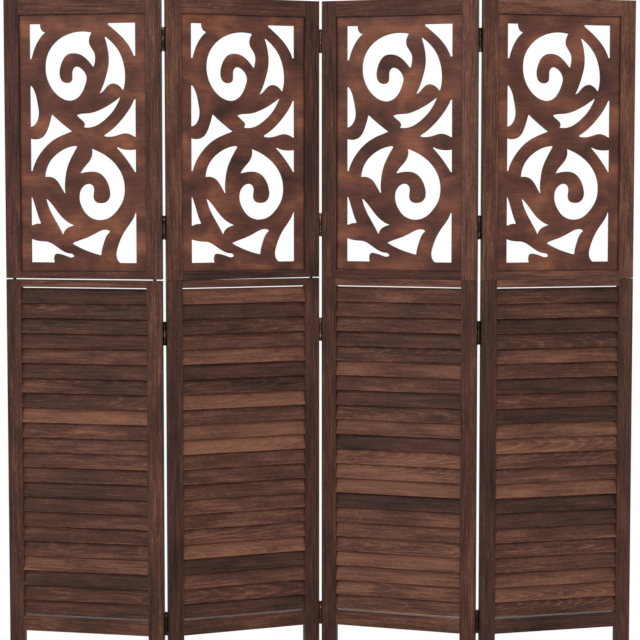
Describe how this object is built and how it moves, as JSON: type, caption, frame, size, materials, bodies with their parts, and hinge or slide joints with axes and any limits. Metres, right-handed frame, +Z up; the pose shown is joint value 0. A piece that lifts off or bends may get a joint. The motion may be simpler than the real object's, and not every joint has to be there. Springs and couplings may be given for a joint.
{
  "type": "folding screen",
  "caption": "Folding wooden screen of hinged panels, each with a fretted scroll board above, fixed louvre slats below and legs at its stiles.",
  "frame": {"origin": "on the floor, at the middle of the box round the standing screen", "axes": "+Z up, +X from the first panel to the last as seen from the front, -Y towards the viewer in front"},
  "size_m": [1.5615, 0.1713, 1.7],
  "materials": {
    "frame_wood": "dark brown stained softwood with open grain, satin",
    "slat_wood": "dark brown stained softwood slats of uneven tone, satin",
    "board_plywood": "reddish brown stained thin plywood, satin",
    "hinge_metal": "dark bronze plated steel",
    "pin_steel": "blackened steel",
    "screw_steel": "dark bronze plated steel"
  },
  "bodies": {
    "panel_1": {"panel_1_upper_left_stile": "frame_wood", "panel_1_upper_right_stile": "frame_wood", "panel_1_upper_head_rail": "frame_wood", "panel_1_upper_foot_rail": "frame_wood", "panel_1_scroll_board": "board_plywood", "panel_1_lower_left_stile": "frame_wood", "panel_1_lower_right_stile": "frame_wood", "panel_1_lower_head_rail": "frame_wood", "panel_1_foot_rail": "frame_wood", "panel_1_louvre_slats": "slat_wood", "panel_1_section_pins": "pin_steel", "fold_1_2_left_leaves": "hinge_metal", "fold_1_2_left_screws": "screw_steel", "fold_1_2_hinge_pins": "hinge_metal"},
    "panel_2": {"panel_2_upper_left_stile": "frame_wood", "panel_2_upper_right_stile": "frame_wood", "panel_2_upper_head_rail": "frame_wood", "panel_2_upper_foot_rail": "frame_wood", "panel_2_scroll_board": "board_plywood", "panel_2_lower_left_stile": "frame_wood", "panel_2_lower_right_stile": "frame_wood", "panel_2_lower_head_rail": "frame_wood", "panel_2_foot_rail": "frame_wood", "panel_2_louvre_slats": "slat_wood", "panel_2_section_pins": "pin_steel", "fold_1_2_right_leaves": "hinge_metal", "fold_1_2_right_screws": "screw_steel", "fold_2_3_left_leaves": "hinge_metal", "fold_2_3_left_screws": "screw_steel", "fold_2_3_hinge_pins": "hinge_metal"},
    "panel_3": {"panel_3_upper_left_stile": "frame_wood", "panel_3_upper_right_stile": "frame_wood", "panel_3_upper_head_rail": "frame_wood", "panel_3_upper_foot_rail": "frame_wood", "panel_3_scroll_board": "board_plywood", "panel_3_lower_left_stile": "frame_wood", "panel_3_lower_right_stile": "frame_wood", "panel_3_lower_head_rail": "frame_wood", "panel_3_foot_rail": "frame_wood", "panel_3_louvre_slats": "slat_wood", "panel_3_section_pins": "pin_steel", "fold_2_3_right_leaves": "hinge_metal", "fold_2_3_right_screws": "screw_steel", "fold_3_4_left_leaves": "hinge_metal", "fold_3_4_left_screws": "screw_steel", "fold_3_4_hinge_pins": "hinge_metal"},
    "panel_4": {"panel_4_upper_left_stile": "frame_wood", "panel_4_upper_right_stile": "frame_wood", "panel_4_upper_head_rail": "frame_wood", "panel_4_upper_foot_rail": "frame_wood", "panel_4_scroll_board": "board_plywood", "panel_4_lower_left_stile": "frame_wood", "panel_4_lower_right_stile": "frame_wood", "panel_4_lower_head_rail": "frame_wood", "panel_4_foot_rail": "frame_wood", "panel_4_louvre_slats": "slat_wood", "panel_4_section_pins": "pin_steel", "fold_3_4_right_leaves": "hinge_metal", "fold_3_4_right_screws": "screw_steel"}
  },
  "joints": [
    {"name": "fold_1_2", "type": "hinge", "parent": "panel_2", "child": "panel_1", "pos_m": [-0.38363, -0.06656, 0], "axis": [0, 0, -1], "range_deg": [-34.7, 145.3]},
    {"name": "fold_2_3", "type": "hinge", "parent": "panel_2", "child": "panel_3", "pos_m": [-0.00162, 0.06743, 0], "axis": [0, 0, -1], "range_deg": [-41.4, 138.6]},
    {"name": "fold_3_4", "type": "hinge", "parent": "panel_3", "child": "panel_4", "pos_m": [0.38804, -0.04231, 0], "axis": [0, 0, 1], "range_deg": [-34.4, 145.6]}
  ]
}
